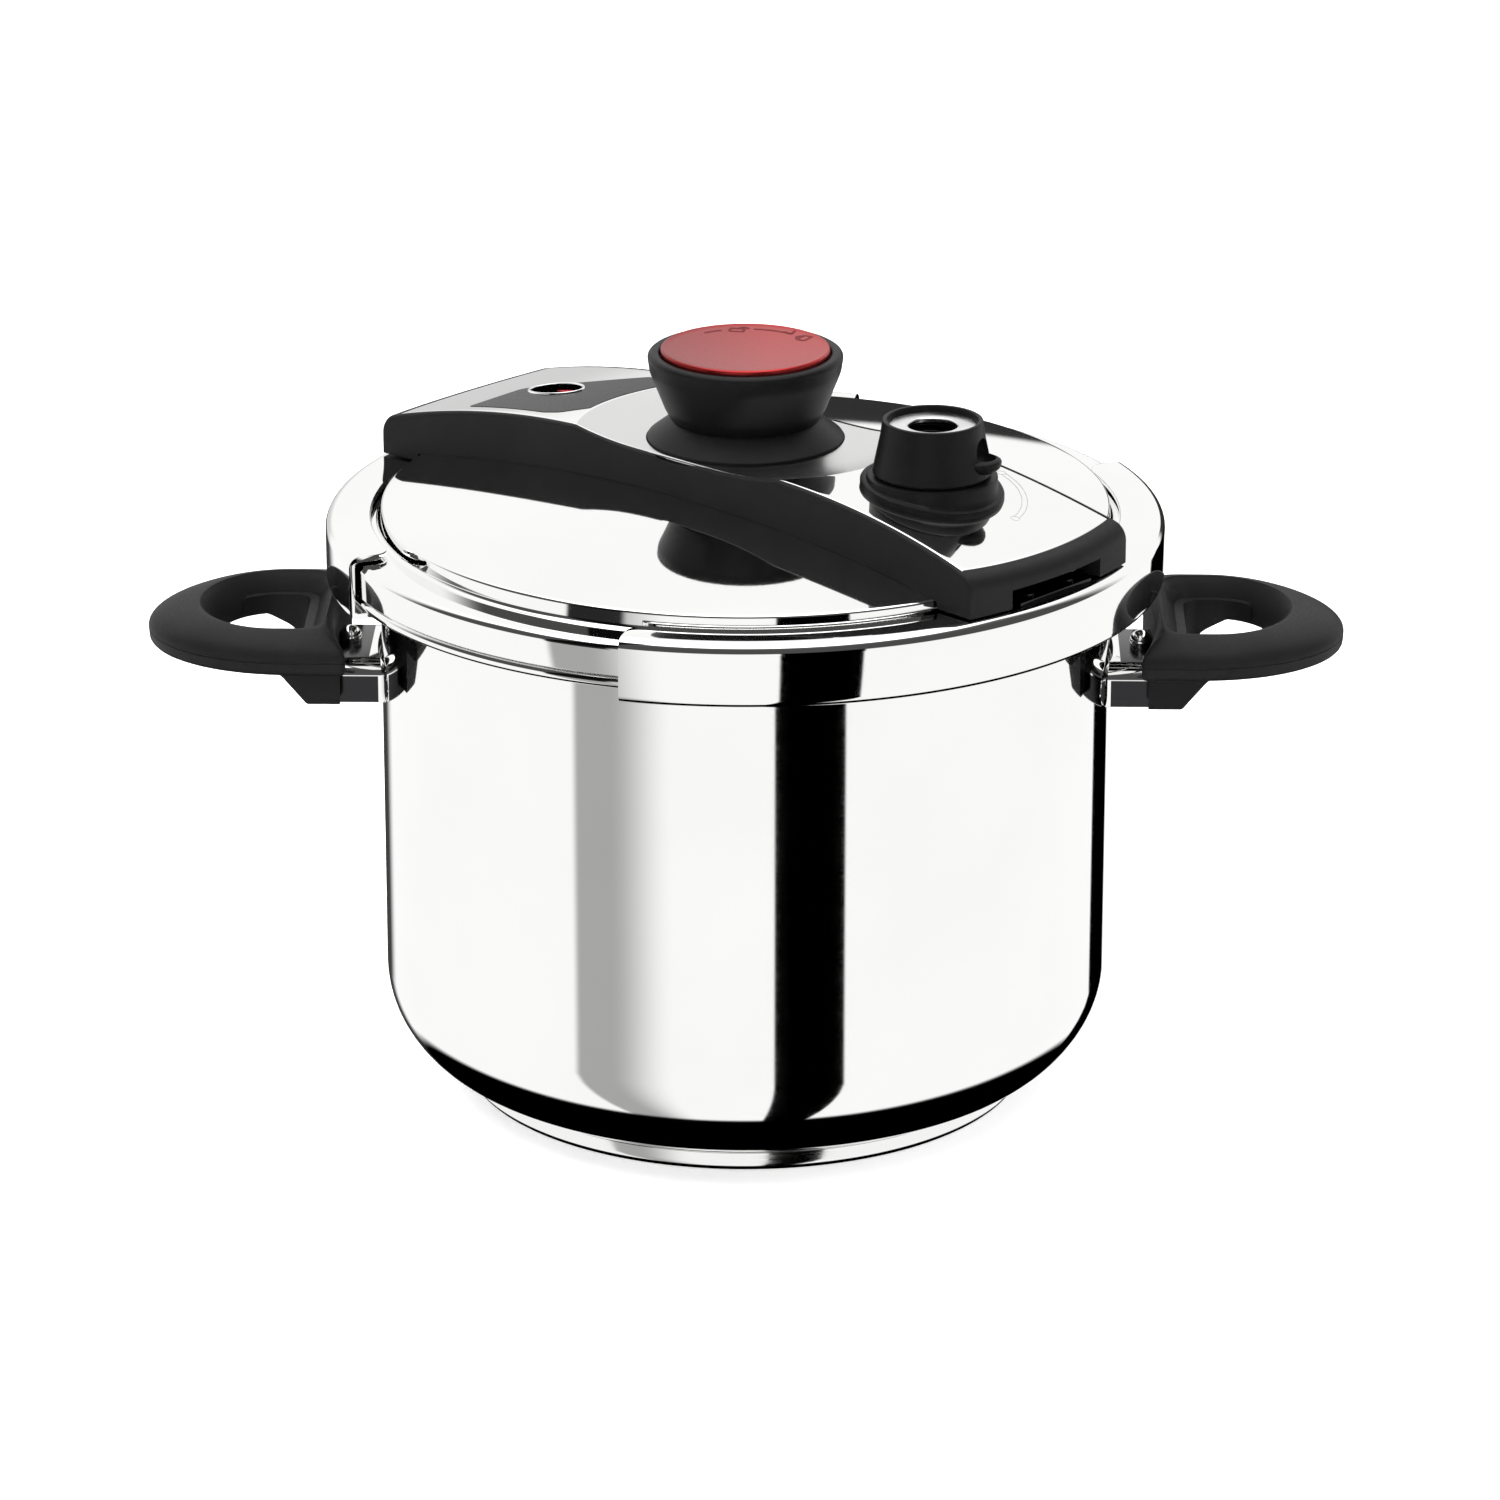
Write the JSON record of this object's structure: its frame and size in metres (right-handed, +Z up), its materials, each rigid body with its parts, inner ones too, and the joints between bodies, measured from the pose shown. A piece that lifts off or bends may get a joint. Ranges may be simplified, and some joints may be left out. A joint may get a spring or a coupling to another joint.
{
  "type": "stovetop pressure cooker",
  "caption": "Clamp-lid pressure cooker: steel pot with loop handles, domed lid with bridge, centre knob that slides two jaws on and off the rim, pressure valve and pressure indicator",
  "frame": {"origin": "centre of the base on the surface it stands on", "axes": "+Z up, X along the two handles, Y across them; the bridge lies at -41.1 degrees from +X"},
  "size_m": [0.3648, 0.2546, 0.2327],
  "materials": {
    "polished_steel": "mirror-polished stainless steel",
    "base_aluminium": "plain aluminium, sealed inside the base",
    "black_plastic": "fine moulded grain, heat-resistant phenolic",
    "red_insert": "metallic red lacquer, satin",
    "grey_metal": "turned, satin",
    "red_pin": "smooth moulded plastic",
    "fastener_steel": "plain stainless steel",
    "valve_brass": "turned brass",
    "seal_rubber": "smooth silicone rubber"
  },
  "bodies": {
    "pot": {"pot_body": "polished_steel", "base_core": "base_aluminium", "base_cap": "polished_steel", "left_bracket": "polished_steel", "right_bracket": "polished_steel", "left_handle": "black_plastic", "right_handle": "black_plastic", "handle_screws": "fastener_steel", "bracket_rivets": "fastener_steel", "lid": "polished_steel", "gasket": "seal_rubber", "lid_stud": "grey_metal", "stud_nut": "fastener_steel", "bridge_body": "black_plastic", "bridge_screws": "fastener_steel", "cover_front": "polished_steel", "cover_rear": "polished_steel", "window_panel": "black_plastic", "window_bezel": "polished_steel", "indicator_bush": "grey_metal", "indicator_nut": "fastener_steel", "valve_collar": "black_plastic", "valve_tube": "grey_metal", "valve_nut": "fastener_steel", "valve_seal": "seal_rubber", "valve_spring": "fastener_steel", "safety_body": "valve_brass", "safety_nut": "fastener_steel", "safety_cap": "valve_brass", "safety_spring": "fastener_steel"},
    "knob": {"knob_hub": "fastener_steel", "knob_skirt": "black_plastic", "knob_cup": "black_plastic", "knob_insert": "red_insert", "knob_screws": "fastener_steel"},
    "front_clamp": {"jaw_front": "polished_steel", "arm_front": "fastener_steel", "arm_front_rivets": "fastener_steel"},
    "rear_clamp": {"jaw_rear": "polished_steel", "arm_rear": "fastener_steel", "arm_rear_rivets": "fastener_steel"},
    "selector": {"valve_selector": "black_plastic", "valve_disc": "grey_metal"},
    "poppet": {"valve_poppet": "grey_metal"},
    "indicator": {"indicator_pin": "red_pin", "indicator_seal": "seal_rubber"},
    "safety": {"safety_stem": "valve_brass"}
  },
  "joints": [
    {"name": "knob_turn", "type": "hinge", "parent": "pot", "child": "knob", "pos_m": [0, 0, 0.21], "axis": [0, 0, 1], "range_deg": [0, 100.2]},
    {"name": "front_clamp_slide", "type": "slide", "parent": "pot", "child": "front_clamp", "axis": [0.7536, -0.6574, 0], "range_m": [0, 0.01399]},
    {"name": "rear_clamp_slide", "type": "slide", "parent": "pot", "child": "rear_clamp", "axis": [-0.7536, 0.6574, 0], "range_m": [0, 0.014]},
    {"name": "valve_turn", "type": "hinge", "parent": "pot", "child": "selector", "pos_m": [0.05614, -0.04897, 0.215], "axis": [0, 0, 1], "range_deg": [-14, 55]},
    {"name": "valve_lift", "type": "slide", "parent": "pot", "child": "poppet", "axis": [0, 0, 1], "range_m": [0, 0.0015], "stiffness_N_per_m": 600, "deforming": ["valve_spring"]},
    {"name": "indicator_rise", "type": "slide", "parent": "pot", "child": "indicator", "axis": [0, 0, 1], "range_m": [0, 0.004]},
    {"name": "safety_lift", "type": "slide", "parent": "pot", "child": "safety", "axis": [0, 0, 1], "range_m": [0, 0.0015], "stiffness_N_per_m": 1500, "deforming": ["safety_spring"]}
  ],
  "couplings": [
    {"joint": "knob_turn", "follows": "front_clamp_slide", "rad_per_m": 125},
    {"joint": "rear_clamp_slide", "follows": "front_clamp_slide", "ratio": 1}
  ]
}
